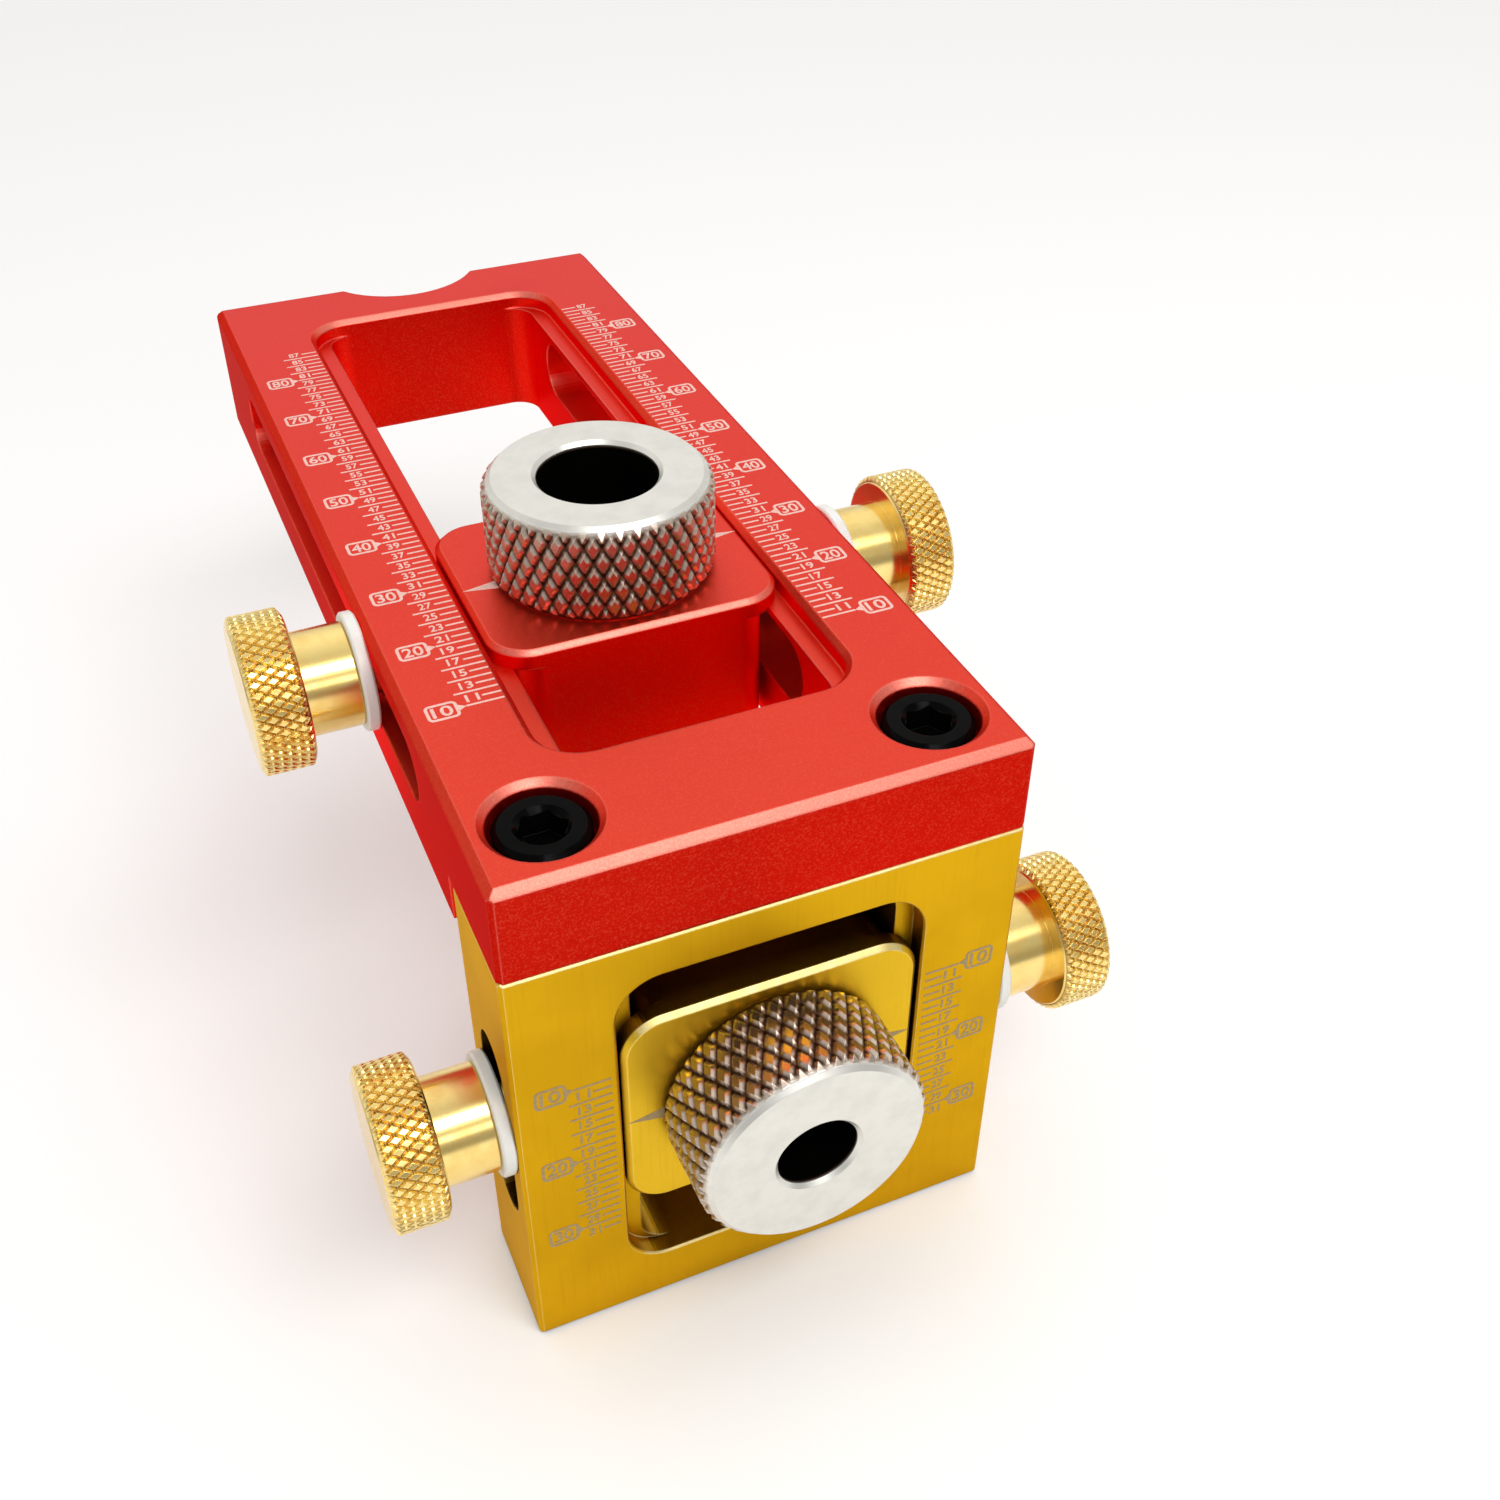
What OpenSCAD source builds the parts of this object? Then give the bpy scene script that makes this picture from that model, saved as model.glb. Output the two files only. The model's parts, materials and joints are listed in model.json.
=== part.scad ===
// Drilling jig for pocket, dowel and cam holes.
// Two frames make an inside corner that sits on the edge of a board. A slider in each frame
// carries a screwed-in drill bush and is clamped by two thumb screws.
// The origin is the board's edge at mid-width: z = 0 is its top face and y = 0 its edge face,
// so a bush's reading on a scale is its distance from the origin.

/* [Frames] */
// Width of both frames
frame_w = 50; // [48:0.5:60]
// Overall length of the top frame
top_len = 119; // [105:1:150]
// Thickness of the top frame
top_t = 15.5; // [14.5:0.5:18]
// Thickness of the front frame
front_t = 14.5; // [14:0.5:18]
// Height of the front frame
front_h = 50.2; // [47:0.2:65]
// Thickness of the top frame where it laps over the front frame
lap_t = 10; // [9:0.5:12]
// Chamfer on the top frame's upper edges
top_chamfer = 0.8; // [0.4:0.1:1.2]
// Broken edges of the front frame's outer side
front_chamfer = 0.4; // [0.2:0.1:0.8]
// Relief along the front frame's edges that face the board
work_relief = 1.4; // [0.5:0.1:2]
// Broken edges of the top frame's underside
under_break = 0.3; // [0.2:0.1:0.6]
// Broken upright corners of the top frame
corner_break = 0.5; // [0.2:0.1:1]
// Radius of the thumb notch in the top frame's back end
notch_r = 9.6; // [6:0.2:14]
// Depth of the thumb notch
notch_depth = 4.5; // [2:0.25:6]

/* [Slots] */
// Width of the shallow pocket round each slot
pocket_w = 30.3; // [29:0.1:33]
// Width of the ledge on either side of the slot
ledge_w = 2; // [1.5:0.25:3]
// Depth of the ledge below the frame's outer face
ledge_depth = 2; // [1.5:0.25:3]
// Corner radius of the pocket
pocket_r = 4.5; // [4:0.25:7]
// Corner radius of the slot
slot_r = 3; // [2:0.25:4]
// Chamfer round the rim of the top frame's pocket
top_rim = 0.6; // [0.3:0.1:1]
// Broken edge round the rim of the front frame's pocket
front_rim = 0.2; // [0.1:0.05:0.6]
// Thickness of the top frame's back wall
end_wall = 10; // [8:0.5:16]
// Height of the front frame's bar above the window
window_head = 4.6; // [3:0.2:6]
// Height of the front frame's bar below the window
window_sill = 6.3; // [4:0.1:10]
// Height of the slots through the frames' side walls
side_slot_h = 7; // [6.8:0.1:8]
// Depth of the thumb screws' axis below the frames' outer faces
screw_depth = 6.3; // [6:0.1:7]
// Length of side slot that is left past the thumb screw at each end of its travel
side_slot_spare = 1; // [0.5:0.25:2]

/* [Sliders] */
// Length of a slider along its travel
slider_len = 25; // [24:0.5:30]
// Gap on either side of a slider
slider_gap = 0.3; // [0.3:0.05:0.6]
// Gap between a slider and the slot's end wall at the end of its travel
slider_end_gap = 0.3; // [0.3:0.05:0.6]
// Height of a slider's inner face above the board
slider_lift = 0.5; // [0.4:0.1:1.5]
// Chamfer on a slider's outer edges
slider_chamfer = 0.5; // [0.3:0.1:0.8]
// Distance of the top bush from the board's edge
top_reading = 28; // [13:0.5:80]
// Distance of the front bush below the board's top face
front_reading = 17; // [12:0.5:25]

/* [Bushes] */
// Diameter of a bush's head over the knurl
bush_d = 22.8; // [21:0.2:24]
// Height of a bush's head
bush_head_h = 10.2; // [8:0.2:14]
// Diameter of a bush's threaded shank
bush_shank_d = 17; // [15:0.25:17.5]
// Length of a bush's shank
bush_shank_len = 13; // [10:0.5:13]
// Bore of the top bush
top_bore_d = 12; // [5:0.5:13]
// Bore of the front bush
front_bore_d = 8; // [5:0.5:13]
// Chamfer between a bush's knurl and its outer face
bush_face_chamfer = 0.8; // [0.4:0.1:1.2]
// Height of the plain foot under a bush's knurl
bush_foot = 0.6; // [0.4:0.1:1.2]
// Length of the undercut below a bush's head
bush_neck_len = 1.6; // [1:0.2:3]
// Depth of the undercut
bush_neck_depth = 0.7; // [0.4:0.1:1]
// Chamfer at both ends of a bush's bore
bore_chamfer = 0.3; // [0.2:0.1:0.8]
// Knurl diamonds round a bush's head
bush_knurl_n = 40; // [24:1:48]
// Knurl diamonds along a bush's head
bush_knurl_rows = 3; // [2:1:8]
// Depth of a bush's knurl
bush_knurl_depth = 0.45; // [0.3:0.05:0.6]

/* [Thumb screws] */
// Diameter of a thumb screw's head over the knurl
knob_d = 15.7; // [14:0.1:18]
// Width of a thumb screw's head
knob_w = 5.3; // [4:0.1:8]
// Diameter of the plain stem behind the head
stem_d = 10.4; // [9:0.1:11.5]
// Length of the stem
stem_len = 5.3; // [3:0.1:10]
// Diameter of the stud
stud_d = 6; // [5:0.25:6]
// Chamfer on the head's edges
knob_chamfer = 0.4; // [0.2:0.1:0.8]
// Knurl diamonds round a thumb screw's head
knob_knurl_n = 48; // [24:1:60]
// Knurl diamonds along a thumb screw's head
knob_knurl_rows = 3; // [2:1:5]
// Depth of a thumb screw's knurl
knob_knurl_depth = 0.35; // [0.2:0.05:0.5]
// Diameter of a washer
washer_d = 12; // [11:0.25:13]
// Thickness of a washer
washer_t = 1.3; // [0.8:0.1:2]
// Broken edges of a washer
washer_break = 0.2; // [0.1:0.05:0.3]

/* [Cap screws] */
// Diameter of a cap screw's head
cap_head_d = 8.5; // [8:0.1:9]
// Height of a cap screw's head
cap_head_h = 5; // [4:0.25:5.5]
// Diameter of a cap screw's shank
cap_d = 5; // [4:0.25:5]
// Length of a cap screw's shank
cap_len = 14; // [10:0.5:15]
// Width across the flats of the hexagon socket
hex_af = 4; // [3:0.25:4.5]
// Depth of the hexagon socket
hex_depth = 2.6; // [1.5:0.1:3]
// Chamfer on a cap screw's head
cap_chamfer = 0.5; // [0.3:0.1:0.8]
// Depth of a cap screw's head below the top face
cap_recess = 0.7; // [0.3:0.1:1.2]
// Distance of a cap screw from the frames' side
cap_side = 6.9; // [6.5:0.1:7.5]
// Distance of a cap screw from the frames' front
cap_front = 7.3; // [6.5:0.1:8]
// Chamfer round a counterbore
cap_bore_chamfer = 0.65; // [0.3:0.05:0.9]

/* [Clearances] */
// Radial gap in the threads that are worked by hand
thread_gap = 0.3; // [0.3:0.05:0.5]
// Gap between a stud's end and the slider's bore for the bush
stud_gap = 1.9; // [0.3:0.1:3]
// Radial gap round a cap screw's head
head_gap = 0.5; // [0.3:0.05:0.8]
// Radial gap round a cap screw's shank in the top frame
shank_gap = 0.25; // [0.1:0.05:0.5]
// Radial gap in the cap screws' tapped holes
tapped_gap = 0.1; // [0.05:0.05:0.2]
// Depth left below a cap screw in its tapped hole
tapped_spare = 1.5; // [0.5:0.25:3]

/* [Hidden] */
$fn = 64;

// Overshoot of a cut past the face that it opens
past = 1;

red = [0.80, 0.13, 0.10];
gold = [0.83, 0.62, 0.12];
steel = [0.72, 0.72, 0.69];
brass = [0.86, 0.68, 0.28];
black = [0.07, 0.07, 0.07];
white = [0.93, 0.93, 0.91];

half_w = frame_w / 2;
back_y = top_len - front_t;
seam_z = top_t - lap_t;
foot_z = seam_z - front_h;

slot_w = pocket_w - 2 * ledge_w;
slot_len = back_y - end_wall;
window_top = seam_z - window_head;
window_foot = foot_z + window_sill;
window_len = window_top - window_foot;
window_mid = (window_top + window_foot) / 2;

flange_w = pocket_w - 2 * slider_gap;
flange_r = pocket_r - slider_gap;
slider_w = slot_w - 2 * slider_gap;

// Depth of the turned core below the knurl's grooves, and its length past each end of the knurl
core_inset = 0.1;
// Thickness of a knurl's sleeve below its grooves, which the core fills
sleeve_t = 0.6;
bush_core_r = bush_d / 2 - bush_knurl_depth - core_inset;
knob_core_r = knob_d / 2 - knob_knurl_depth - core_inset;
bush_hole_r = bush_shank_d / 2 + thread_gap;
stud_hole_r = stud_d / 2 + thread_gap;
stud_len = half_w - bush_hole_r - stud_gap;

cap_x = half_w - cap_side;
cap_y = cap_front - front_t;
cap_seat_z = top_t - cap_recess - cap_head_h;
cap_bore_r = cap_head_d / 2 + head_gap;

// Rectangle with its own chamfer at each corner: lower left, lower right, upper right, upper left
module bevelled(x0, x1, y0, y1, c) {
    polygon([
        [x0 + c[0], y0], [x1 - c[1], y0], [x1, y0 + c[1]], [x1, y1 - c[2]],
        [x1 - c[2], y1], [x0 + c[3], y1], [x0, y1 - c[3]], [x0, y0 + c[0]]
    ]);
}

// Outline in (y, z), extruded along x over the frames' width
module along_x() {
    rotate([90, 0, 90])
        linear_extrude(height = frame_w + 2 * past, center = true)
            children();
}

// Outline in (x, z), extruded along y from one place to another
module along_y(from, to) {
    translate([0, to, 0])
        rotate([90, 0, 0])
            linear_extrude(height = to - from)
                children();
}

// Outline in (x, y), extruded along z from one height to another
module along_z(from, to) {
    translate([0, 0, from])
        linear_extrude(height = to - from)
            children();
}

// Upright block with rounded corners, from one height to another
module rounded_block(w, l, r, from, to) {
    along_z(from, to) {
        square([w - 2 * r, l], center = true);
        square([w, l - 2 * r], center = true);
        for (x = [-1, 1], y = [-1, 1])
            translate([x * (w / 2 - r), y * (l / 2 - r)])
                circle(r);
    }
}

// Rounded block whose walls lean out by grow over its height
module leaning_block(w, l, r, grow, from, to) {
    straight_x = w - 2 * r;
    straight_y = l - 2 * r;
    along_y(-straight_y / 2, straight_y / 2)
        polygon([[-w / 2, from], [w / 2, from], [w / 2 + grow, to], [-w / 2 - grow, to]]);
    rotate([0, 0, 90])
        along_y(-straight_x / 2, straight_x / 2)
            polygon([[-l / 2, from], [l / 2, from], [l / 2 + grow, to], [-l / 2 - grow, to]]);
    for (x = [-1, 1], y = [-1, 1])
        translate([x * straight_x / 2, y * straight_y / 2, from])
            cylinder(h = to - from, r1 = r, r2 = r + grow);
}

// Stepped slot in a plate whose outer face is z = 0
module stepped_slot(length, plate_t, rim) {
    rounded_block(pocket_w, length, pocket_r, -ledge_depth, past);
    rounded_block(slot_w, length, slot_r, -plate_t - past, past);
    leaning_block(pocket_w, length, pocket_r, rim + past, -rim, past);
}

// Slots through both side walls, for thumb screws that travel between two places along y
module side_slots(first, last) {
    r = side_slot_h / 2;
    from = first - side_slot_spare;
    to = last + side_slot_spare;
    translate([-half_w - past, 0, -screw_depth]) {
        translate([0, from, -r])
            cube([frame_w + 2 * past, to - from, side_slot_h]);
        for (y = [from, to])
            translate([0, y, 0])
                rotate([0, 90, 0])
                    cylinder(h = frame_w + 2 * past, r = r);
    }
}

// Everything that is cut for a slider's travel in a slot that is centred on the origin
module slider_way(length, plate_t, rim) {
    reach = (length - slider_len) / 2 - slider_end_gap;
    stepped_slot(length, plate_t, rim);
    side_slots(-reach, reach);
}

// Places a child that is modelled with its outer face at z = 0 in the top or the front frame
module on_top(y) {
    translate([0, y, top_t])
        children();
}

module on_front(z) {
    translate([0, -front_t, z])
        rotate([90, 0, 0])
            children();
}

// Block of the top frame, with the lap for the front frame under its front end
module top_block() {
    intersection() {
        along_x()
            polygon([
                [-front_t, seam_z], [-front_t, top_t - top_chamfer], [-front_t + top_chamfer, top_t],
                [back_y - top_chamfer, top_t], [back_y, top_t - top_chamfer],
                [back_y, under_break], [back_y - under_break, 0], [under_break, 0],
                [0, under_break], [0, seam_z]
            ]);
        along_y(-front_t - past, back_y + past)
            bevelled(-half_w, half_w, 0, top_t, [under_break, under_break, top_chamfer, top_chamfer]);
        along_z(-past, top_t + past)
            bevelled(-half_w, half_w, -front_t, back_y, corner_break * [1, 1, 1, 1]);
    }
}

// Counterbored hole for a cap screw
module cap_hole() {
    rim_r = cap_bore_r + cap_bore_chamfer;
    translate([0, 0, seam_z - past])
        cylinder(h = lap_t, r = cap_d / 2 + shank_gap);
    translate([0, 0, cap_seat_z])
        cylinder(h = top_t - cap_seat_z + past, r = cap_bore_r);
    translate([0, 0, top_t - cap_bore_chamfer])
        cylinder(h = cap_bore_chamfer + past, r1 = cap_bore_r, r2 = rim_r + past);
}

// Thumb notch across the back end
module back_notch() {
    translate([0, back_y - notch_depth + notch_r, 0]) {
        translate([0, 0, -past])
            cylinder(h = top_t + 2 * past, r = notch_r);
        translate([0, 0, top_t - top_chamfer])
            cylinder(h = top_chamfer + past, r1 = notch_r, r2 = notch_r + top_chamfer + past);
    }
}

module top_frame() {
    color(red)
    difference() {
        top_block();
        on_top(slot_len / 2)
            slider_way(slot_len, top_t, top_rim);
        for (x = [-cap_x, cap_x])
            translate([x, cap_y, 0])
                cap_hole();
        back_notch();
    }
}

// Block of the front frame, relieved along the edges that face the board
module front_block() {
    outer = front_chamfer;
    inner = work_relief;
    intersection() {
        along_x()
            bevelled(-front_t, 0, foot_z, seam_z, [outer, inner, inner, outer]);
        along_y(-front_t - past, past)
            bevelled(-half_w, half_w, foot_z, seam_z, outer * [1, 1, 1, 1]);
        along_z(foot_z - past, seam_z + past)
            bevelled(-half_w, half_w, -front_t, 0, [outer, outer, inner, inner]);
    }
}

module front_frame() {
    tapped_foot = cap_seat_z - cap_len - tapped_spare;
    color(gold)
    difference() {
        front_block();
        on_front(window_mid)
            slider_way(window_len, front_t, front_rim);
        for (x = [-cap_x, cap_x])
            translate([x, cap_y, tapped_foot])
                cylinder(h = seam_z - tapped_foot + past, r = cap_d / 2 + tapped_gap);
    }
}

// Socket head cap screw, with its seat at z = 0
module cap_screw() {
    head_r = cap_head_d / 2;
    shank_r = cap_d / 2;
    socket_r = hex_af / 2 / cos(30);
    lead_r = socket_r - cap_chamfer / 2;
    color(black)
    difference() {
        rotate_extrude()
            polygon([
                [0, -cap_len], [shank_r - cap_chamfer, -cap_len], [shank_r, -cap_len + cap_chamfer],
                [shank_r, 0], [head_r, 0], [head_r, cap_head_h - cap_chamfer],
                [head_r - cap_chamfer, cap_head_h], [0, cap_head_h]
            ]);
        translate([0, 0, cap_head_h - hex_depth])
            cylinder(h = hex_depth + past, r = socket_r, $fn = 6);
        translate([0, 0, cap_head_h - cap_chamfer])
            cylinder(h = cap_chamfer + past, r1 = lead_r, r2 = lead_r + cap_chamfer + past);
    }
}

module cap_screw_left() {
    translate([-cap_x, cap_y, cap_seat_z])
        cap_screw();
}

module cap_screw_right() {
    translate([cap_x, cap_y, cap_seat_z])
        cap_screw();
}

// Flanged block with a tapped bore for the bush and a tapped hole for each thumb screw,
// with its outer face at z = 0 and its travel along y
module slider(depth) {
    difference() {
        union() {
            rounded_block(flange_w, slider_len, flange_r, -ledge_depth, -slider_chamfer);
            leaning_block(flange_w, slider_len, flange_r, -slider_chamfer, -slider_chamfer, 0);
            rounded_block(slider_w, slider_len, slot_r, -depth, -slider_chamfer);
        }
        translate([0, 0, -depth - past])
            cylinder(h = depth + 2 * past, r = bush_hole_r);
        translate([-half_w, 0, -screw_depth])
            rotate([0, 90, 0])
                cylinder(h = frame_w, r = stud_hole_r);
    }
}

module top_slider() {
    color(red)
        on_top(top_reading)
            slider(top_t - slider_lift);
}

module front_slider() {
    color(gold)
        on_front(-front_reading)
            slider(front_t - slider_lift);
}

// Sleeve with a diamond knurl: the crossings of the two sets of grooves and the diamonds' tips
// alternate round each ring and from ring to ring, and two plain rings of radius root line its hole
function knurl_points(n, rows, r, depth, root, h) = concat(
    [
        for (j = [0 : 2 * rows], i = [0 : 2 * n - 1])
            let (a = 180 * i / n, rr = (i + j) % 2 == 0 ? r - depth : r)
                [rr * cos(a), rr * sin(a), h * j / (2 * rows)]
    ],
    [
        for (z = [0, h], i = [0 : n - 1])
            let (a = 360 * i / n)
                [root * cos(a), root * sin(a), z]
    ]
);

function knurl_cell(a, b, c, d, tip_first) = tip_first ? [[a, d, b], [b, d, c]] : [[a, c, b], [a, d, c]];

// One step of a sleeve's end face, between inner corners p and q and outer corners a, b and c
function knurl_end(p, q, a, b, c, up) =
    up ? [[a, p, b], [p, q, b], [b, q, c]] : [[a, b, p], [p, b, q], [b, c, q]];

function knurl_faces(n, rows) =
    let (m = 2 * n, top = 2 * rows * m, hole = top + m)
    concat(
        [
            for (j = [0 : 2 * rows - 1], i = [0 : m - 1])
                let (k = (i + 1) % m, low = j * m, high = low + m)
                    each knurl_cell(low + i, low + k, high + k, high + i, (i + j) % 2 == 1)
        ],
        [
            for (end = [0, 1], i = [0 : n - 1])
                let (k = (i + 1) % n, ring = end * top, root = hole + end * n)
                    each knurl_end(root + i, root + k, ring + 2 * i, ring + 2 * i + 1, ring + 2 * k, end == 1)
        ],
        [
            for (i = [0 : n - 1])
                let (k = (i + 1) % n)
                    [hole + k, hole + n + k, hole + n + i, hole + i]
        ]
    );

// Knurl of diameter d between the ends of a turned core's barrel
module knurl(n, rows, d, depth, from, to) {
    h = to - from - 2 * core_inset;
    root = d / 2 - depth - sleeve_t;
    translate([0, 0, from + core_inset])
        polyhedron(knurl_points(n, rows, d / 2, depth, root, h), knurl_faces(n, rows));
}

// Drill bush with its seat at z = 0 and its head above
module bush(bore_d) {
    shank_r = bush_shank_d / 2;
    neck_r = shank_r - bush_neck_depth;
    bore_r = bore_d / 2;
    knurl_top = bush_head_h - bush_face_chamfer;
    color(steel)
    difference() {
        union() {
            rotate_extrude()
                polygon([
                    [0, -bush_shank_len], [neck_r, -bush_shank_len],
                    [shank_r, -bush_shank_len + bush_neck_depth], [shank_r, -bush_neck_len],
                    [neck_r, -bush_neck_len], [neck_r, 0],
                    [bush_core_r - bush_foot, 0], [bush_core_r, bush_foot],
                    [bush_core_r, knurl_top], [bush_core_r - bush_face_chamfer, bush_head_h],
                    [0, bush_head_h]
                ]);
            knurl(bush_knurl_n, bush_knurl_rows, bush_d, bush_knurl_depth, bush_foot, knurl_top);
        }
        translate([0, 0, -bush_shank_len - past])
            cylinder(h = bush_shank_len + bush_head_h + 2 * past, r = bore_r);
        translate([0, 0, bush_head_h - bore_chamfer])
            cylinder(h = bore_chamfer + past, r1 = bore_r, r2 = bore_r + bore_chamfer + past);
        translate([0, 0, -bush_shank_len - past])
            cylinder(h = bore_chamfer + past, r1 = bore_r + bore_chamfer + past, r2 = bore_r);
    }
}

module top_bush() {
    on_top(top_reading)
        bush(top_bore_d);
}

module front_bush() {
    on_front(-front_reading)
        bush(front_bore_d);
}

// Thumb screw along z, with the frame's side face at z = 0 and the head above
module thumb_screw() {
    stud_r = stud_d / 2;
    stem_r = stem_d / 2;
    head_z = washer_t + stem_len;
    face_z = head_z + knob_w;
    rim_r = knob_core_r - knob_chamfer;
    color(brass) {
        rotate_extrude()
            polygon([
                [0, -stud_len], [stud_r - knob_chamfer, -stud_len], [stud_r, -stud_len + knob_chamfer],
                [stud_r, washer_t], [stem_r, washer_t], [stem_r, head_z],
                [rim_r, head_z], [knob_core_r, head_z + knob_chamfer],
                [knob_core_r, face_z - knob_chamfer], [rim_r, face_z], [0, face_z]
            ]);
        knurl(
            knob_knurl_n, knob_knurl_rows, knob_d, knob_knurl_depth,
            head_z + knob_chamfer, face_z - knob_chamfer
        );
    }
}

// Washer along z, lying on the frame's side face at z = 0
module washer() {
    outer_r = washer_d / 2;
    inner_r = stud_hole_r;
    rim_r = outer_r - washer_break;
    color(white)
        rotate_extrude()
            polygon([
                [inner_r, 0], [rim_r, 0], [outer_r, washer_break],
                [outer_r, washer_t - washer_break], [rim_r, washer_t], [inner_r, washer_t]
            ]);
}

// Places a child on the left (-1) or right (1) side of a frame, pointing outwards
module on_side(side) {
    translate([side * half_w, 0, -screw_depth])
        rotate([0, 90 * side, 0])
            children();
}

module top_washer_left() {
    on_top(top_reading)
        on_side(-1)
            washer();
}

module top_washer_right() {
    on_top(top_reading)
        on_side(1)
            washer();
}

module front_washer_left() {
    on_front(-front_reading)
        on_side(-1)
            washer();
}

module front_washer_right() {
    on_front(-front_reading)
        on_side(1)
            washer();
}

module top_screw_left() {
    on_top(top_reading)
        on_side(-1)
            thumb_screw();
}

module top_screw_right() {
    on_top(top_reading)
        on_side(1)
            thumb_screw();
}

module front_screw_left() {
    on_front(-front_reading)
        on_side(-1)
            thumb_screw();
}

module front_screw_right() {
    on_front(-front_reading)
        on_side(1)
            thumb_screw();
}

top_frame();
front_frame();
cap_screw_left();
cap_screw_right();
top_slider();
front_slider();
top_bush();
front_bush();
top_washer_left();
top_washer_right();
front_washer_left();
front_washer_right();
top_screw_left();
top_screw_right();
front_screw_left();
front_screw_right();
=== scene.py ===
import json
import math

import bmesh
import bpy
from bpy.props import FloatProperty, FloatVectorProperty, IntProperty, PointerProperty
from mathutils import Matrix, Vector


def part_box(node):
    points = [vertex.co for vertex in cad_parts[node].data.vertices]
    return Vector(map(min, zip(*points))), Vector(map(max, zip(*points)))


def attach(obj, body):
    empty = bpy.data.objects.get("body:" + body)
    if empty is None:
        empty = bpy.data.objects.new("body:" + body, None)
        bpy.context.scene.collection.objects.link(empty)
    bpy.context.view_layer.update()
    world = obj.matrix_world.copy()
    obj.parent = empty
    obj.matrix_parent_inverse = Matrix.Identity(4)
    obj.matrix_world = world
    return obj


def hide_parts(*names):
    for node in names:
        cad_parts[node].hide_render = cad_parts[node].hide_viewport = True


bl_info = {
    "name": "Drilling jig looks",
    "version": (1, 0, 0),
    "blender": (4, 5, 0),
    "location": "3D View > Sidebar > Jig",
    "description": "Finishes, scales, drill bushes and thumb screws of a drilling jig on its packed frame",
    "category": "Object",
}

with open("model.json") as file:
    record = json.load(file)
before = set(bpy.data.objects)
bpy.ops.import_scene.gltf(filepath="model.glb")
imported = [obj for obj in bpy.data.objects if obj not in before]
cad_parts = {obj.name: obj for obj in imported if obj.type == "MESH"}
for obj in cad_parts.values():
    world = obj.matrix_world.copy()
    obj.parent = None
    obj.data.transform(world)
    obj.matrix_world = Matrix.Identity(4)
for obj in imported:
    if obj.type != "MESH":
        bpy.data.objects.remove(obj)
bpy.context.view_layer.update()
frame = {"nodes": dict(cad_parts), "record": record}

MM = 0.001
SHARP_ANGLE = math.radians(28)
# Marks that overlap differ in thickness, so that no two faces lie in one plane.
LINE_PROUD = 1.8
POINTER_PROUD = 1.6
MARK_PROUD = 2.0
MOUNTS = {mount["name"]: mount for mount in frame["record"]["mounts"]}
TOP_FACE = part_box("top_frame")[1][2]
FRONT_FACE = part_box("front_frame")[0][1]
HALF_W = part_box("top_frame")[1][0]
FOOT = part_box("front_frame")[0][2]
TOP_READING = (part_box("top_slider")[0][1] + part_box("top_slider")[1][1]) / 2
FRONT_READING = -(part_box("front_slider")[0][2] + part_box("front_slider")[1][2]) / 2


def length(name, description, default):
    """Property for a length in metres."""
    return FloatProperty(name=name, description=description, default=default, unit="LENGTH", precision=5)


def share(name, description, default):
    """Property for a plain share."""
    return FloatProperty(name=name, description=description, default=default, subtype="FACTOR")


def point(name, description, default):
    """Property for a point in metres."""
    return FloatVectorProperty(name=name, description=description, default=default, subtype="TRANSLATION")


def colour(name, description, default):
    """Property for a linear colour."""
    return FloatVectorProperty(
        name=name, description=description, default=default, subtype="COLOR", size=3, min=0.0, max=1.0
    )


class ScaleSizes(bpy.types.PropertyGroup):
    """Layout of the scales beside a slot, as distances from mid-width."""

    first: IntProperty(name="First line", description="Reading of the first line", default=10)
    top_last: IntProperty(name="Last top line", description="Reading of the last top line", default=87)
    front_last: IntProperty(name="Last front line", description="Reading of the last front line", default=31)
    rim: length("Line start", "Inner end of every line", 15.85 * MM)
    odd_end: length("Odd line end", "Outer end of an odd line", 17.65 * MM)
    even_end: length("Even line end", "Outer end of an even line", 20.0 * MM)
    pointer_start: length("Pointer start", "Outer end of a tens line, where its pointer starts", 19.4 * MM)
    box_near: length("Box near side", "Inner side of the box round a tens number", 20.1 * MM)
    box_far: length("Box far side", "Outer side of the box round a tens number", 23.1 * MM)
    box_h: length("Box height", "Height of the box round a tens number", 2.45 * MM)
    box_r: length("Box corner", "Corner radius of the box", 0.55 * MM)
    box_line: length("Box line", "Line width of the box", 0.30 * MM)
    pointer_h: length("Pointer height", "Height of a pointer where it meets its box", 1.1 * MM)
    line_w: length("Line width", "Width of a scale line", 0.24 * MM)
    odd_middle: length("Odd number", "Middle of an odd number", 18.55 * MM)
    odd_w: length("Odd number width", "Width of an odd number", 1.28 * MM)
    odd_h: length("Odd number height", "Height of an odd number", 1.1 * MM)
    ten_w: length("Tens number width", "Width of a tens number", 1.95 * MM)
    ten_h: length("Tens number height", "Height of a tens number", 1.55 * MM)
    proud: length("Mark thickness", "Height of a mark above its face", 0.02 * MM)
    weight: share("Number weight", "Thickening of the numbers' strokes", 0.018)
    index_tip: length("Index tip", "Tip of a slider's index mark", 14.5 * MM)
    index_foot: length("Index foot", "Broad end of a slider's index mark", 11.0 * MM)
    index_w: length("Index width", "Width of an index mark's broad end", 1.4 * MM)


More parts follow.
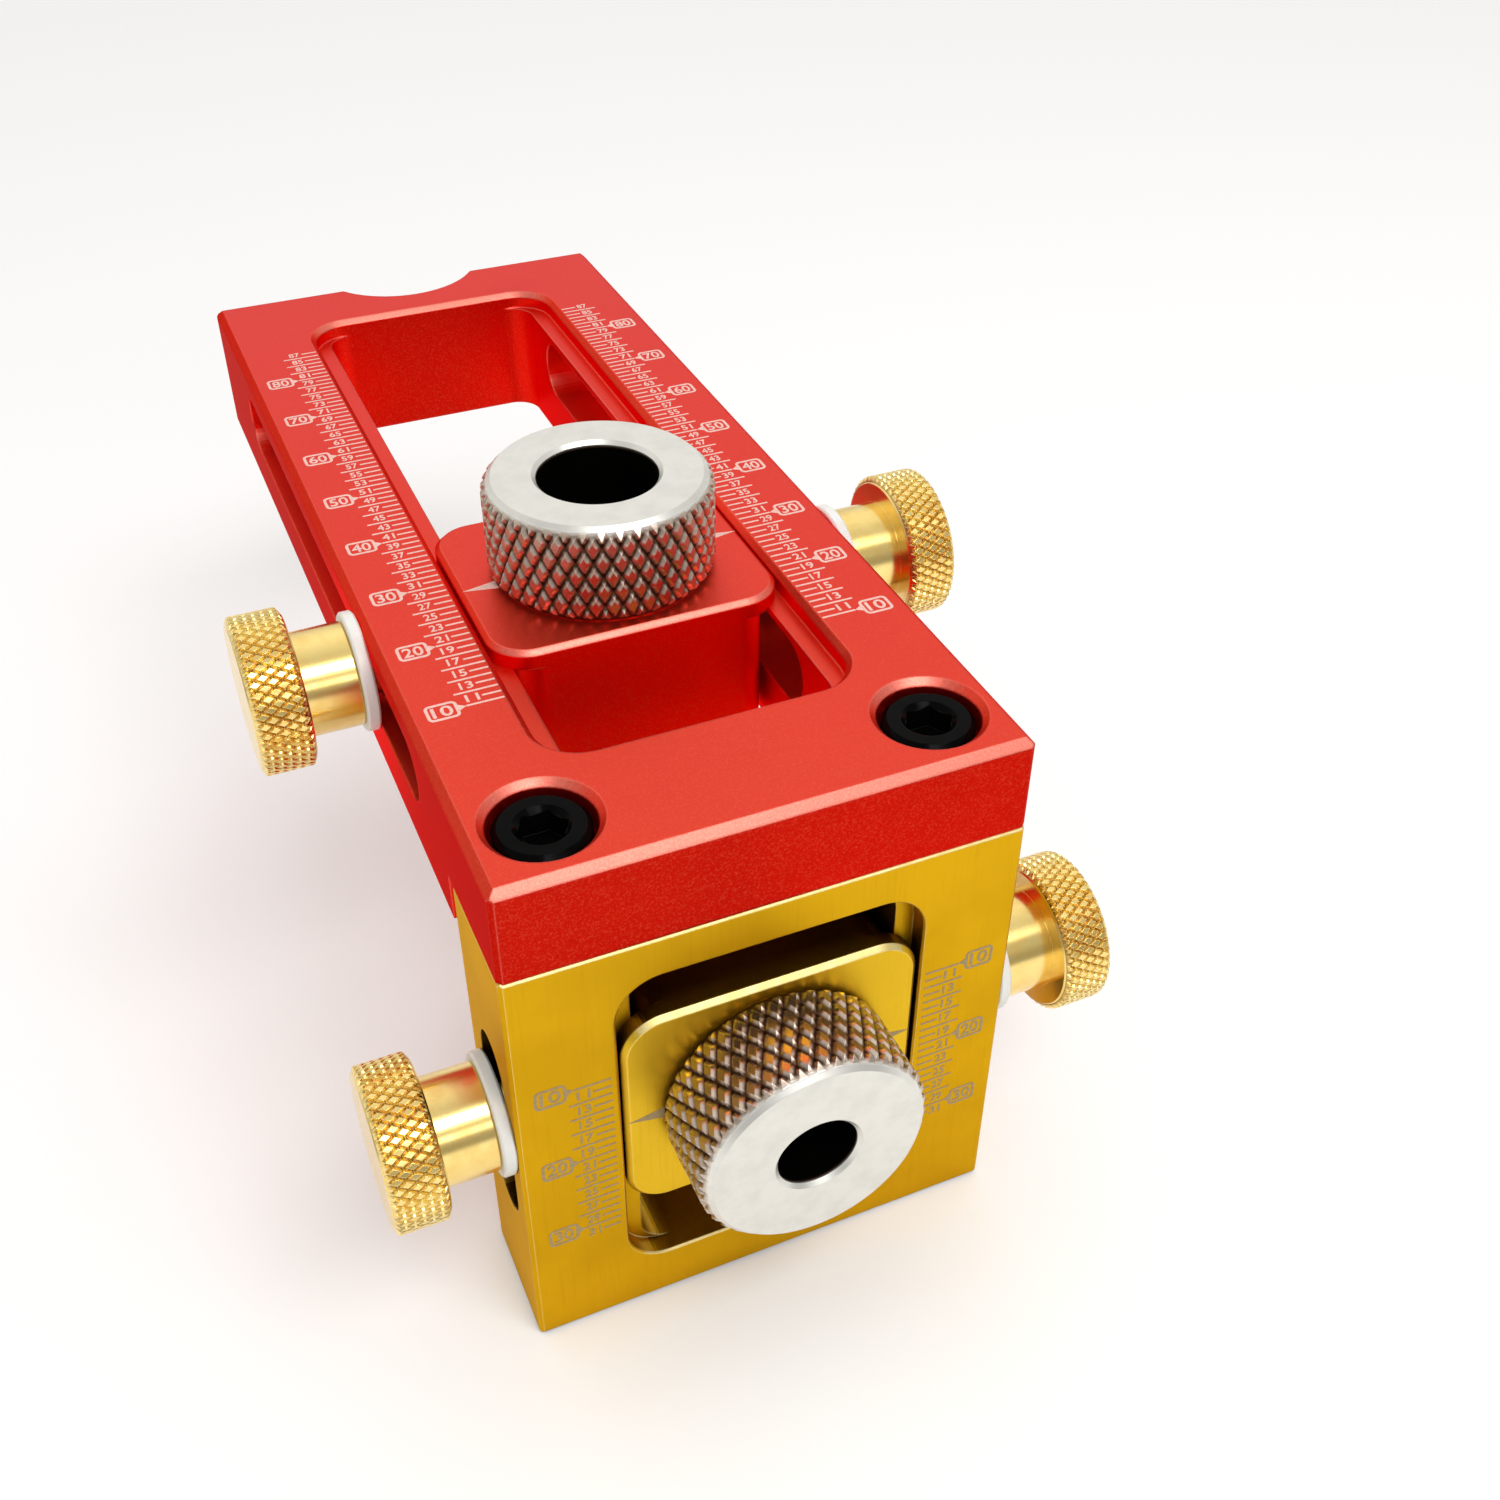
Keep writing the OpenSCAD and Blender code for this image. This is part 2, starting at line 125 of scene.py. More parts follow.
class BushSizes(bpy.types.PropertyGroup):
    """Sizes of a screwed-in drill bush."""

    head_r: length("Head radius", "Radius of the head over its knurl", 11.4 * MM)
    head_h: length("Head height", "Height of the head above its seat", 10.2 * MM)
    face_r: length("Face radius", "Radius of the flat outer face", 10.35 * MM)
    groove: length("Groove depth", "Depth of the knurl's grooves", 0.45 * MM)
    diamonds: IntProperty(name="Diamonds", description="Diamonds round the head", default=40)
    rows: IntProperty(name="Rows", description="Diamonds along the head", default=3)
    groove_share: share("Groove share", "Half width of a groove as a share of a diamond", 0.26)
    shank_r: length("Shank radius", "Radius over the shank's thread", 8.5 * MM)
    shank_len: length("Shank length", "Length of the shank below the seat", 13.0 * MM)
    neck_len: length("Neck length", "Length of the undercut below the head", 1.6 * MM)
    pitch: length("Thread pitch", "Pitch of the shank's thread", 1.0 * MM)
    bore_lead: length("Bore lead", "Chamfer at both ends of the bore", 0.4 * MM)


class ScrewSizes(bpy.types.PropertyGroup):
    """Sizes of a thumb screw, along its axis from the frame's side face."""

    head_r: length("Head radius", "Radius of the head over its knurl", 7.85 * MM)
    head_w: length("Head width", "Width of the head", 5.3 * MM)
    groove: length("Groove depth", "Depth of the knurl's grooves", 0.35 * MM)
    diamonds: IntProperty(name="Diamonds", description="Diamonds round the head", default=48)
    rows: IntProperty(name="Rows", description="Diamonds along the head", default=3)
    groove_share: share("Groove share", "Half width of a groove as a share of a diamond", 0.20)
    edge: length("Edge", "Chamfer on the head's edges", 0.25 * MM)
    stem_r: length("Stem radius", "Radius of the plain stem", 5.2 * MM)
    stem_len: length("Stem length", "Length of the stem", 5.3 * MM)
    washer: length("Washer", "Thickness of the washer under the stem", 1.3 * MM)
    stud_r: length("Stud radius", "Radius over the stud's thread", 3.0 * MM)
    stud_len: length("Stud length", "Length of the stud inside the frame", 14.3 * MM)
    pitch: length("Thread pitch", "Pitch of the stud's thread", 1.0 * MM)


class FinishColours(bpy.types.PropertyGroup):
    """Colours of the finishes."""

    red: colour("Red", "Red anodised aluminium", (0.52, 0.009, 0.003))
    # Painted light: a brighter, deeper red that the red finish puts in recesses, standing in for light
    # bounced between the red walls.
    red_slot: colour("Red slot", "Red anodised aluminium inside a slot", (1.0, 0.006, 0.001))
    # Painted light: a lighter red on faces that look up, standing in for the sky's light falling on them.
    red_haze: colour("Red haze", "Red anodised aluminium on faces that look up", (0.77, 0.038, 0.009))
    red_grain: colour("Red grain", "Bead-blasted grain in the red", (0.85, 0.13, 0.065))
    # Rubbed edges and the painted highlight on chamfers both use this paler red.
    red_edge: colour("Red edge", "Red anodised aluminium where an edge has rubbed", (0.96, 0.42, 0.33))
    gold: colour("Gold", "Gold anodised aluminium", (0.67, 0.375, 0.006))
    gold_slider: colour("Gold slider", "Gold anodised aluminium of the front slider", (0.80, 0.51, 0.028))
    # Rubbed edges and the painted highlight on chamfers both use this paler gold.
    gold_edge: colour("Gold edge", "Gold anodised aluminium where an edge has rubbed", (0.98, 0.84, 0.42))
    steel: colour("Steel", "Turned steel", (0.78, 0.77, 0.72))
    steel_edge: colour("Steel edge", "Turned steel where an edge has rubbed", (0.92, 0.92, 0.90))
    # Painted shade: the inside of a bore is painted near black, standing in for the shade in the hole.
    bore: colour("Bore", "Inside of a bush's bore", (0.004, 0.004, 0.003))
    # Darker colour that a bush takes towards the bottom of its knurl's grooves and in its bore.
    grime: colour("Grime", "Oil and oxide in a bush's grooves and bore", (0.090, 0.042, 0.020))
    oxide: colour("Oxide", "Thin oxide on a bush's rolled knurl", (0.52, 0.37, 0.26))
    brass: colour("Brass", "Polished brass", (0.94, 0.72, 0.27))
    brass_edge: colour("Brass edge", "Polished brass where an edge has rubbed", (0.98, 0.88, 0.60))
    tarnish: colour("Tarnish", "Tarnish in a thumb screw's grooves", (0.30, 0.14, 0.02))
    nylon: colour("Nylon", "White nylon", (0.84, 0.84, 0.81))
    black: colour("Black", "Blackened steel", (0.0012, 0.0012, 0.0012))
    black_edge: colour("Black edge", "Blackened steel where an edge has rubbed", (0.03, 0.03, 0.03))
    marks_on_red: colour("Marks on red", "Laser marks on the red frame", (0.93, 0.57, 0.50))
    marks_on_gold: colour("Marks on gold", "Laser marks on the gold frame", (0.42, 0.30, 0.14))
    floor: colour("Floor", "Studio floor", (0.92, 0.92, 0.92))


class StageSizes(bpy.types.PropertyGroup):
    """Camera and light."""

    camera: point("Camera", "Place of the camera", (-0.04501, -0.10882, 0.10543))
    aim: point("Aim", "Point at the picture's middle", (0.00306, -0.00179, 0.01198))
    lit: point("Lit point", "Point that the lamps face", (0.0, 0.02, 0.0))
    roll: FloatProperty(
        name="Roll", description="Roll of the camera", default=math.radians(0.47), subtype="ANGLE"
    )
    lens: FloatProperty(name="Lens", description="Focal length in millimetres", default=40.131)
    floor_r: length("Floor radius", "Radius of the floor", 3.0)
    floor_gap: length("Floor gap", "Room between the foot and the floor", 0.05 * MM)
    floor_glow: FloatProperty(
        name="Floor glow", description="Light that the floor adds where it is seen", default=0.09
    )
    key: FloatProperty(
        name="Key light", description="Power of the light above the front", default=1.6, unit="POWER"
    )
    strip: FloatProperty(
        name="Strip light", description="Power of the low light in front", default=0.28, unit="POWER"
    )
    sky: FloatProperty(name="Sky", description="Strength of the walls and ceiling", default=1.24)


class Wire:
    """One output in a node tree; arithmetic on it adds Math nodes."""

    def __init__(self, tree, socket=None):
        self.tree = tree
        self.socket = socket

    def node(self, kind, settings=None, inputs=None, out=0):
        """Adds a node, applies its settings, feeds its sockets and returns one of its outputs."""
        made = self.tree.nodes.new(kind)
        for name, value in (settings or {}).items():
            setattr(made, name, value)
        for name, value in (inputs or {}).items():
            if isinstance(value, Wire):
                self.tree.links.new(value.socket, made.inputs[name])
            else:
                made.inputs[name].default_value = value
        return Wire(self.tree, made.outputs[out])

    def at(self, out):
        """Another output of the same node."""
        return Wire(self.tree, self.socket.node.outputs[out])

    def maths(self, operation, *terms):
        return self.node("ShaderNodeMath", {"operation": operation}, dict(enumerate(terms)))

    def __add__(self, other):
        return self.maths("ADD", self, other)

    def __radd__(self, other):
        return self.maths("ADD", other, self)

    def __sub__(self, other):
        return self.maths("SUBTRACT", self, other)

    def __rsub__(self, other):
        return self.maths("SUBTRACT", other, self)

    def __mul__(self, other):
        return self.maths("MULTIPLY", self, other)

    def __rmul__(self, other):
        return self.maths("MULTIPLY", other, self)

    def __truediv__(self, other):
        return self.maths("DIVIDE", self, other)

    def __rtruediv__(self, other):
        return self.maths("DIVIDE", other, self)

    def __mod__(self, other):
        return self.maths("FLOORED_MODULO", self, other)

    def __abs__(self):
        return self.maths("ABSOLUTE", self)

    def __lt__(self, other):
        return self.maths("LESS_THAN", self, other)

    def __gt__(self, other):
        return self.maths("GREATER_THAN", self, other)

    def least(self, other):
        return self.maths("MINIMUM", self, other)

    def most(self, other):
        return self.maths("MAXIMUM", self, other)

    def step(self, low, high):
        """Smooth rise from 0 at low to 1 at high."""
        return self.node(
            "ShaderNodeMapRange", {"interpolation_type": "SMOOTHSTEP"},
            {"Value": self, "From Min": low, "From Max": high}
        )


def opaque(tint):
    return (tint[0], tint[1], tint[2], 1.0)


def toned(tint, red, green, blue):
    """Colour with each channel scaled."""
    return (tint[0] * red, tint[1] * green, tint[2] * blue)


def blend(wire, amount, low, high):
    """Mix of two colours, each a wire or a plain colour."""
    ends = [end if isinstance(end, Wire) else opaque(end) for end in (low, high)]
    return wire.node("ShaderNodeMix", {"data_type": "RGBA"}, {0: amount, 6: ends[0], 7: ends[1]}, out=2)


def noise(wire, place, scale, detail=2.0, rough=0.5, stretch=None):
    """Noise value at a place, with stretch as a scale along each axis."""
    if stretch:
        place = wire.node("ShaderNodeMapping", {"vector_type": "POINT"}, {"Vector": place, "Scale": stretch})
    return wire.node(
        "ShaderNodeTexNoise", {}, {"Vector": place, "Scale": scale, "Detail": detail, "Roughness": rough}
    )


def new_finish(name, **constants):
    """Material with a Principled shader, its constant sockets set, and a wire into its tree."""
    material = bpy.data.materials.new(name)
    material.use_nodes = True
    shader = material.node_tree.nodes["Principled BSDF"]
    for socket, value in constants.items():
        shader.inputs[socket.replace("_", " ")].default_value = value
    return material, Wire(material.node_tree), shader


def feed(wire, shader, **links):
    """Links wires to a shader's sockets."""
    for socket, source in links.items():
        wire.tree.links.new(source.socket, shader.inputs[socket.replace("_", " ")])


def worn_edge(wire, radius, patches, low=0.10, high=0.26):
    """Rounded normal at the edges, and how worn each place near an edge is."""
    ragged = 0.8
    rounded = wire.node("ShaderNodeBevel", {"samples": 6}, {"Radius": radius})
    flat = wire.node("ShaderNodeNewGeometry", out="Normal")
    alike = wire.node(
        "ShaderNodeVectorMath", {"operation": "DOT_PRODUCT"}, {0: rounded, 1: flat}, out="Value"
    )
    return rounded, (1.0 - alike + (patches - 0.5) * high * ragged).step(low, high)


def bumped(wire, height, strength, depth, normal=None):
    """Normal with fine relief, over another normal where one is given."""
    inputs = {"Strength": strength, "Distance": depth, "Height": height}
    if normal is not None:
        inputs["Normal"] = normal
    return wire.node("ShaderNodeBump", {}, inputs)


def facing_up(wire):
    """How far a face looks up, and a mask for a painted highlight on chamfers that look up, stronger on those
    towards the front.
    """
    way = wire.node("ShaderNodeSeparateXYZ", {}, {0: wire.node("ShaderNodeNewGeometry", out="True Normal")})
    up, ahead = way.at("Z"), (0.0 - way.at("Y")).step(0.15, 0.72)
    return up, up.step(0.50, 0.62) * (1.0 - up.step(0.80, 0.92)) * (0.2 + ahead * 0.8)


def openness(wire, reach):
    """How far a place lies open, from 0 deep in a recess to 1 on a bare face."""
    return wire.node("ShaderNodeAmbientOcclusion", {"samples": 6}, {"Distance": reach}, out="AO")


def anodised_red(colours):
    """Blasted and dyed aluminium: painted light makes it lighter on faces that look up and stronger in slots,
    a painted highlight makes it pale on chamfers, and rubbed edges are pale.
    """
    material, wire, shader = new_finish(
        "red_anodised_aluminium", Metallic=1.0, Coat_Roughness=0.35, Specular_Tint=(0.9, 0.10, 0.05, 1.0)
    )
    place = wire.node("ShaderNodeTexCoord", out="Object")
    blast = noise(wire, place, scale=5200.0, rough=0.65)
    cloud = noise(wire, place, scale=70.0, detail=3.0, rough=0.55)
    patches = noise(wire, place, scale=420.0, detail=3.0, rough=0.6)
    rounded, wear = worn_edge(wire, 0.35 * MM, patches, low=0.015, high=0.12)
    up, chamfer_highlight = facing_up(wire)
    red = colours.red
    deep = blend(wire, cloud.step(0.3, 0.7), red * 0.93, toned(red, 1.04, 1.15, 1.2))
    # Painted light: where ambient occlusion finds a recess, the colour turns to the brighter slot red,
    # standing in for light bounced between the walls.
    walls = blend(wire, openness(wire, 30.0 * MM).step(0.68, 0.98), colours.red_slot, deep)
    # Painted light: faces that look up turn to the lighter top red, with a random cloud in the share.
    painted_top_light = blend(wire, up.step(0.3, 1.0) * (0.8 + cloud * 0.4).least(1.0), walls, colours.red_haze)
    grained = blend(wire, blast.step(0.45, 0.75) * 0.28, painted_top_light, colours.red_grain)
    # Pale where an edge has rubbed, and a painted highlight on chamfers that look up, strongest towards the
    # front.
    pale = (wear * 0.3).most(chamfer_highlight * (0.24 + blast * 0.42))
    base = blend(wire, pale, grained, colours.red_edge)
    sheen = 0.03 + up.step(0.75, 0.95) * 0.55
    rough = 0.38 + cloud * 0.08 - wear * 0.08
    bump = bumped(wire, blast, strength=0.22, depth=0.03 * MM, normal=rounded)
    feed(wire, shader, Base_Color=base, Roughness=rough, Coat_Weight=sheen, Normal=bump)
    return material


def anodised_gold(name, gold, edge):
    """Dyed aluminium with faint upright brushing, nicked and rubbed bright edges, a painted highlight on
    chamfers and painted shade in recesses.
    """
    material, wire, shader = new_finish(
        name, Metallic=1.0, Coat_Weight=0.08, Coat_Roughness=0.3, Specular_Tint=(0.9, 0.65, 0.12, 1.0)
    )
    place = wire.node("ShaderNodeTexCoord", out="Object")
    brush = noise(wire, place, scale=1.0, detail=3.0, rough=0.6, stretch=(2600.0, 2600.0, 90.0))
    blast = noise(wire, place, scale=3600.0, rough=0.6)
    cloud = noise(wire, place, scale=80.0, detail=3.0, rough=0.55)
    patches = noise(wire, place, scale=620.0, detail=4.0, rough=0.65)
    rounded, wear = worn_edge(wire, 0.25 * MM, patches, low=0.03, high=0.16)
    up, chamfer_highlight = facing_up(wire)
    tone = blend(wire, cloud.step(0.3, 0.7), gold * 0.92, toned(gold, 1.06, 1.08, 1.2))
    lined = blend(wire, brush.step(0.5, 0.8) * 0.30, tone, toned(gold, 0.80, 0.74, 1.0))
    # Pale where an edge has rubbed, and a painted highlight on chamfers that look up; edge is the paler gold
    # for both.
    pale = blend(wire, (wear * 0.8).most(chamfer_highlight * (0.2 + patches)).least(0.9), lined, edge)
    # Painted shade: where ambient occlusion finds a recess, the gold darkens to near black, more so on faces
    # that look up; lit is the unshaded share.
    ledge_shade = up.step(0.85, 0.95) * 0.30
    lit = (openness(wire, 14.0 * MM) - ledge_shade).step(0.12, 0.50)
    base = blend(wire, lit, toned(gold, 0.05, 0.03, 0.0), pale)
    rough = 0.36 + cloud * 0.10 - wear * 0.08
    bump = bumped(wire, brush * 0.6 + blast * 0.4, strength=0.14, depth=0.03 * MM, normal=rounded)
    feed(wire, shader, Base_Color=base, Roughness=rough, Normal=bump)
    return material


def turned_place(wire, fineness):
    """On a turned piece: place and radius in millimetres, noise in rings, and depth in a groove or bore."""
    own = wire.node("ShaderNodeAttribute", {"attribute_name": "own"}, out="Vector")
    depth = wire.node("ShaderNodeAttribute", {"attribute_name": "depth"}, out="Fac")
    parts = wire.node("ShaderNodeSeparateXYZ", {}, {0: own})
    flat = wire.node("ShaderNodeCombineXYZ", {}, {"X": parts, "Y": parts.at("Y")})
    radius = wire.node("ShaderNodeVectorMath", {"operation": "LENGTH"}, {0: flat}, out="Value")
    along = wire.node("ShaderNodeCombineXYZ", {}, {"X": radius * fineness, "Y": parts.at("Z") * fineness})
    return own, radius, noise(wire, along, scale=1.0, detail=3.0, rough=0.6), depth


def turned_steel(colours, knurl_r):
    """Turned steel: lathe rings and stains on its faces, a browned knurl, grooves that turn darker with
    depth, and a bore painted near black as shade.
    """
    material, wire, shader = new_finish("turned_steel", Metallic=1.0)
    own, radius, rings, depth = turned_place(wire, fineness=9.0)
    stain = noise(wire, own, scale=0.45, detail=4.0, rough=0.6)
    spot = noise(wire, own, scale=3.2, detail=3.0, rough=0.7)
    rounded, wear = worn_edge(wire, 0.10 * MM, spot)
    steel = colours.steel
    tone = blend(wire, stain.step(0.35, 0.7), steel, steel * 0.93)
    specks = blend(wire, spot.step(0.68, 0.80) * 0.25, tone, steel * 0.45)
    rolled = radius.step(knurl_r - 0.1, knurl_r)
    browned = blend(wire, rolled * 0.65, specks, colours.oxide)
    bright = blend(wire, wear * 0.6, browned, colours.steel_edge)
    # Darker towards the bottom of the knurl's grooves and in the bore, varied by the stains; rougher there
    # too.
    grime = (depth + (stain - 0.5) * 0.3).step(0.30, 1.05)
    soiled = blend(wire, grime, bright, colours.grime)
    # Painted shade: the inside of the bore, where depth is 2, is painted near black.
    base = blend(wire, depth.step(1.0, 2.0), soiled, colours.bore)
    rough = (0.32 + stain * 0.16) * (1.0 - rolled * 0.28) + grime * 0.20
    bump = bumped(wire, rings, strength=0.10, depth=0.02 * MM, normal=rounded)
    feed(wire, shader, Base_Color=base, Roughness=rough, Normal=bump)
    return material


def polished_brass(colours):
    """Polished brass with turning marks round its axis, tarnished in the grooves."""
    material, wire, shader = new_finish("polished_brass", Metallic=1.0)
    own, _, rings, depth = turned_place(wire, fineness=11.0)
    cloud = noise(wire, own, scale=0.5, detail=4.0, rough=0.6)
    rounded, wear = worn_edge(wire, 0.08 * MM, cloud)
    brass = colours.brass
    tone = blend(wire, cloud.step(0.35, 0.75), brass, toned(brass, 0.94, 0.86, 0.72))
    bright = blend(wire, wear * 0.5, tone, colours.brass_edge)
    dull = (depth + (cloud - 0.5) * 0.4).step(0.4, 1.1) * 0.5
    base = blend(wire, dull, bright, colours.tarnish)
    rough = 0.14 + cloud * 0.12 + depth * 0.1
    bump = bumped(wire, rings, strength=0.06, depth=0.02 * MM, normal=rounded)
    feed(wire, shader, Base_Color=base, Roughness=rough, Normal=bump)
    return material


def white_nylon(colours):
    """Slightly clouded white nylon."""
    material, wire, shader = new_finish(
        "white_nylon", Subsurface_Weight=0.25, Subsurface_Scale=0.6 * MM, IOR=1.53, Coat_Weight=0.05
    )
    place = wire.node("ShaderNodeTexCoord", out="Object")
    cloud = noise(wire, place, scale=300.0, detail=3.0)
    base = blend(wire, cloud.step(0.3, 0.7), colours.nylon, toned(colours.nylon, 0.93, 0.93, 0.91))
    rounded = wire.node("ShaderNodeBevel", {"samples": 4}, {"Radius": 0.15 * MM})
    bump = bumped(wire, cloud, strength=0.05, depth=0.03 * MM, normal=rounded)
    feed(wire, shader, Base_Color=base, Roughness=0.34 + cloud * 0.14, Normal=bump)
    return material


def blackened_steel(colours):
    """Oiled black oxide with rubbed edges."""
    material, wire, shader = new_finish("blackened_steel", Specular_IOR_Level=0.03)
    place = wire.node("ShaderNodeTexCoord", out="Object")
    cloud = noise(wire, place, scale=500.0, detail=3.0, rough=0.6)
    rounded, wear = worn_edge(wire, 0.15 * MM, cloud)
    tone = blend(wire, cloud.step(0.3, 0.7), colours.black, colours.black * 1.8)
    base = blend(wire, wear * 0.5, tone, colours.black_edge)
    bump = bumped(wire, cloud, strength=0.04, depth=0.03 * MM, normal=rounded)
    feed(wire, shader, Base_Color=base, Roughness=0.08 + cloud * 0.12, Normal=bump)
    return material


def laser_mark(name, tint):
    """Matt laser marking that is a little uneven."""
    material, wire, shader = new_finish(name, Metallic=0.0, Specular_IOR_Level=0.3)
    place = wire.node("ShaderNodeTexCoord", out="Object")
    burn = noise(wire, place, scale=2400.0, detail=3.0, rough=0.6)
    base = blend(wire, burn.step(0.3, 0.75), tint, tint * 0.80)
    bump = bumped(wire, burn, strength=0.10, depth=0.02 * MM)
    feed(wire, shader, Base_Color=base, Roughness=0.50 + burn * 0.20, Normal=bump)
    return material


def new_tree(name, inputs):
    """Geometry Nodes tree with named inputs, as (name, kind, value), and a wire for each."""
    tree = bpy.data.node_groups.new(name, "GeometryNodeTree")
    tree.is_modifier = True
    tree.interface.new_socket("Geometry", in_out="OUTPUT", socket_type="NodeSocketGeometry")
    for label, kind, _ in inputs:
        tree.interface.new_socket(label, in_out="INPUT", socket_type="NodeSocket" + kind)
    wire = Wire(tree)
    entry = wire.node("NodeGroupInput")
    return tree, wire, {label: entry.at(label) for label, _, _ in inputs}


def close_tree(wire, geometry, material):
    """Ends a tree in Realize Instances and Set Material."""
    real = wire.node("GeometryNodeRealizeInstances", {}, {0: geometry})
    dressed = wire.node("GeometryNodeSetMaterial", {}, {"Geometry": real, "Material": material})
    leave = wire.tree.nodes.new("NodeGroupOutput")
    wire.tree.links.new(dressed.socket, leave.inputs[0])


def grown_mesh(tree, inputs):
    """Plain mesh of a tree's result."""
    seed = bpy.data.objects.new(tree.name + "_seed", bpy.data.meshes.new(tree.name + "_seed"))
    bpy.context.scene.collection.objects.link(seed)
    modifier = seed.modifiers.new(tree.name, "NODES")
    modifier.node_group = tree
    sockets = {item.name: item.identifier for item in tree.interface.items_tree if item.in_out == "INPUT"}
    for label, _, value in inputs:
        modifier[sockets[label]] = value
    seed.update_tag()
    graph = bpy.context.evaluated_depsgraph_get()
    mesh = bpy.data.meshes.new_from_object(seed.evaluated_get(graph), depsgraph=graph)
    seed.modifiers.remove(modifier)
    bpy.data.objects.remove(seed)
    return mesh


def knurl_mesh(sizes, low, high, end_r, slope, material):
    """Diamond knurl as a sheet round z: a staggered net of diamonds, rolled up and cut by both end cones."""
    inputs = [
        ("Radius", "Float", sizes.head_r), ("Depth", "Float", sizes.groove),
        ("Diamonds", "Int", sizes.diamonds), ("Rows", "Int", sizes.rows),
        ("Groove", "Float", sizes.groove_share), ("Low", "Float", low),
        ("High", "Float", high), ("End Radius", "Float", end_r), ("Slope", "Float", slope),
        ("Material", "Material", material),
    ]
    tree, wire, given = new_tree("diamond_knurl", inputs)
    step = 2.0 * math.pi / given["Diamonds"]
    rise = (given["High"] - given["Low"]) / given["Rows"]

    unit_grid = {"Size X": 1.0, "Size Y": 1.0, "Vertices X": 5, "Vertices Y": 5}
    grid = wire.node("GeometryNodeMeshGrid", {}, unit_grid)
    corner = wire.node("ShaderNodeSeparateXYZ", {}, {0: wire.node("GeometryNodeInputPosition")})
    flat_share = (0.5 - given["Groove"]) * 4.0

    def spread(value):
        """Moves a grid line so that the flat top keeps clear of the grooves; the rim stays at one half."""
        reach = abs(value)
        rim = reach > 0.3
        return wire.maths("SIGN", value) * (rim * 0.5 + (1.0 - rim) * reach * flat_share)

    across, up = spread(corner), spread(corner.at("Y"))
    inside = (0.5 - abs(across)).least(0.5 - abs(up)) / given["Groove"]
    height = inside.least(1.0) * given["Depth"]
    cell_place = wire.node(
        "ShaderNodeCombineXYZ", {},
        {"X": (across + up) * 0.5 * step, "Y": (up - across) * 0.5 * rise, "Z": height}
    )
    cell = wire.node("GeometryNodeSetPosition", {}, {"Geometry": grid, "Position": cell_place})

    count = given["Diamonds"] * (given["Rows"] * 2.0 + 1.0)
    number = wire.node("GeometryNodeInputIndex")
    ring = wire.maths("FLOOR", (number + 0.5) / given["Diamonds"])
    turn = (number - ring * given["Diamonds"]) + (ring % 2.0) * 0.5
    net_place = wire.node(
        "ShaderNodeCombineXYZ", {}, {"X": turn * step, "Y": given["Low"] + ring * rise * 0.5, "Z": 0.0}
    )
    net = wire.node("GeometryNodePoints", {}, {"Count": count, "Position": net_place})
    cells = wire.node("GeometryNodeInstanceOnPoints", {}, {"Points": net, "Instance": cell})
    sheet = wire.node("GeometryNodeRealizeInstances", {}, {0: cells})

    place = wire.node("ShaderNodeSeparateXYZ", {}, {0: wire.node("GeometryNodeInputPosition")})
    level = place.at("Y")
    beyond = (level > given["High"]).most(level < given["Low"])
    trimmed = wire.node(
        "GeometryNodeDeleteGeometry", {"domain": "FACE"}, {"Geometry": sheet, "Selection": beyond}
    )
    angle = place
    level = level.least(given["High"]).most(given["Low"])
    full = given["Radius"] - given["Depth"] + place.at("Z")
    cone = given["End Radius"] + (given["High"] - level).least(level - given["Low"]) * given["Slope"]
    reach = full.least(cone)
    rolled_place = wire.node(
        "ShaderNodeCombineXYZ", {},
        {"X": reach * wire.maths("COSINE", angle), "Y": reach * wire.maths("SINE", angle), "Z": level}
    )
    rolled = wire.node("GeometryNodeSetPosition", {}, {"Geometry": trimmed, "Position": rolled_place})
    welded = wire.node("GeometryNodeMergeByDistance", {}, {"Geometry": rolled, "Distance": 0.002 * MM})
    close_tree(wire, welded, given["Material"])
    return grown_mesh(tree, inputs)


def thread_mesh(radius, ridge, pitch, low, high, material):
    """Ridge of a screw thread, wound round z."""
    inputs = [
        ("Radius", "Float", radius - ridge), ("Ridge", "Float", ridge),
        ("Turns", "Float", (high - low) / pitch),
        ("Low", "Float", low), ("Height", "Float", high - low), ("Material", "Material", material),
    ]
    tree, wire, given = new_tree("thread_ridge", inputs)
    helix = wire.node(
        "GeometryNodeCurveSpiral", {},
        {
            "Resolution": 40, "Rotations": given["Turns"], "Start Radius": given["Radius"],
            "End Radius": given["Radius"], "Height": given["Height"],
        }
    )
    section = wire.node(
        "GeometryNodeCurvePrimitiveCircle", {"mode": "RADIUS"}, {"Resolution": 6, "Radius": given["Ridge"]}
    )
    ridge_mesh = wire.node(
        "GeometryNodeCurveToMesh", {}, {"Curve": helix, "Profile Curve": section, "Fill Caps": True}
    )
    lift = wire.node("ShaderNodeCombineXYZ", {}, {"Z": given["Low"]})
    placed = wire.node("GeometryNodeTransform", {}, {"Geometry": ridge_mesh, "Translation": lift})
    close_tree(wire, placed, given["Material"])
    return grown_mesh(tree, inputs)


